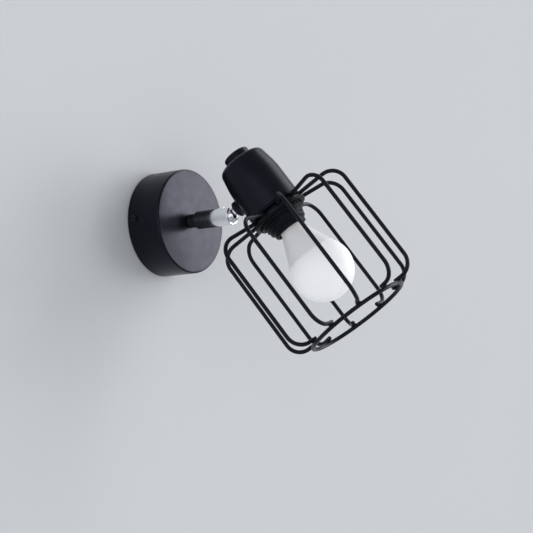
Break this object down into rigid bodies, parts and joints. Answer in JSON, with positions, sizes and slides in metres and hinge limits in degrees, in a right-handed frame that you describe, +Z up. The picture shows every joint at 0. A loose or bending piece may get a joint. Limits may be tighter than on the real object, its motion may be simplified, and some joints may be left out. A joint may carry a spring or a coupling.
{
  "type": "cage wall light",
  "caption": "Wall spotlight with a round drum canopy, a short arm with a ball joint, a threaded lampholder and an open cage of bent wires round a small globe lamp.",
  "frame": {"origin": "centre of the canopy's back, on the wall", "axes": "+Z up, -Y out of the wall into the room, +X to the right of someone facing the wall"},
  "size_m": [0.1195, 0.1865, 0.1455],
  "materials": {
    "black_powder_coat": "satin",
    "black_moulded_plastic": "matte",
    "polished_chrome": "polished",
    "blackened_steel": "satin",
    "zinc_plated_steel": "satin",
    "white_polyamide": "matte",
    "brass": "satin",
    "tinned_copper": "satin",
    "lead_insulation": "matte",
    "earth_lead_insulation": "matte",
    "glazed_ceramic": "glossy",
    "lamp_body_white": "satin",
    "opal_dome": "satin",
    "nickel_plated_cap": "satin",
    "black_cap_glass": "glossy",
    "white_solder_mask": "matte",
    "light_chip_phosphor": "matte",
    "driver_board_green": "satin"
  },
  "bodies": {
    "canopy": {"canopy_cup": "black_powder_coat", "wall_bracket": "zinc_plated_steel", "canopy_side_screws": "blackened_steel", "terminal_block": "white_polyamide", "terminal_barrels": "brass", "terminal_screws": "zinc_plated_steel", "terminal_block_screws": "zinc_plated_steel", "earth_screw": "zinc_plated_steel", "earth_tag": "tinned_copper", "earth_lead": "earth_lead_insulation", "canopy_leads": "lead_insulation", "arm_nipple": "blackened_steel", "nipple_locknut": "zinc_plated_steel", "nipple_lock_washer": "zinc_plated_steel"},
    "arm": {"swivel_socket": "polished_chrome", "ball_seat": "brass", "disc_springs": "zinc_plated_steel", "arm_leads": "lead_insulation"},
    "ball": {"ball_stud": "polished_chrome", "stud_washer": "zinc_plated_steel", "stud_nut": "zinc_plated_steel"},
    "head": {"holder_shell": "black_powder_coat", "top_knob": "black_powder_coat", "tie_nipple": "zinc_plated_steel", "holder_bridge": "zinc_plated_steel", "bridge_nut": "zinc_plated_steel", "bridge_screws": "zinc_plated_steel", "lampholder_core": "glazed_ceramic", "contact_screws": "zinc_plated_steel", "head_leads": "lead_insulation", "centre_contact": "brass", "thread_sleeve": "brass", "lampholder_skirt": "black_moulded_plastic", "cage_collar": "black_powder_coat", "cage_bottom_ring": "black_powder_coat", "cage_wire_01": "black_powder_coat", "cage_wire_02": "black_powder_coat", "cage_wire_03": "black_powder_coat", "cage_wire_04": "black_powder_coat", "cage_wire_05": "black_powder_coat", "cage_wire_06": "black_powder_coat", "cage_wire_07": "black_powder_coat", "cage_wire_08": "black_powder_coat", "cage_wire_09": "black_powder_coat", "cage_wire_10": "black_powder_coat"},
    "clamp_ring": {"shade_ring": "black_moulded_plastic"},
    "lamp_screw": {"lamp_tip": "brass", "lamp_insulator": "black_cap_glass"},
    "lamp": {"lamp_cap": "nickel_plated_cap", "lamp_body": "lamp_body_white", "lamp_dome": "opal_dome", "light_board": "white_solder_mask", "light_chips": "light_chip_phosphor", "driver_board": "driver_board_green"}
  },
  "joints": [
    {"name": "arm_swivel", "type": "hinge", "parent": "canopy", "child": "arm", "pos_m": [0, -0.04, 0], "axis": [0, -1, 0], "range_deg": [-170, 170]},
    {"name": "head_tilt", "type": "hinge", "parent": "arm", "child": "ball", "pos_m": [0, -0.063, 0], "axis": [-1, 0, 0], "range_deg": [-45, 37]},
    {"name": "head_twist", "type": "hinge", "parent": "ball", "child": "head", "pos_m": [0, -0.063, 0], "axis": [0, -0.8406, 0.5417], "range_deg": [-89, 60]},
    {"name": "shade_ring_turn", "type": "hinge", "parent": "head", "child": "clamp_ring", "pos_m": [0, -0.08902, 0.01677], "axis": [0.247, -0.5249, -0.8145], "range_deg": [0, 1080]},
    {"name": "lamp_travel", "type": "slide", "parent": "head", "child": "lamp_screw", "axis": [0.247, -0.5249, -0.8145], "range_m": [0, 0.00705]},
    {"name": "lamp_unscrew", "type": "hinge", "parent": "lamp_screw", "child": "lamp", "pos_m": [0, -0.08902, 0.01677], "axis": [0.247, -0.5249, -0.8145], "range_deg": [0, 901]}
  ],
  "couplings": [
    {"joint": "lamp_unscrew", "follows": "lamp_travel", "rad_per_m": 2228.1}
  ]
}
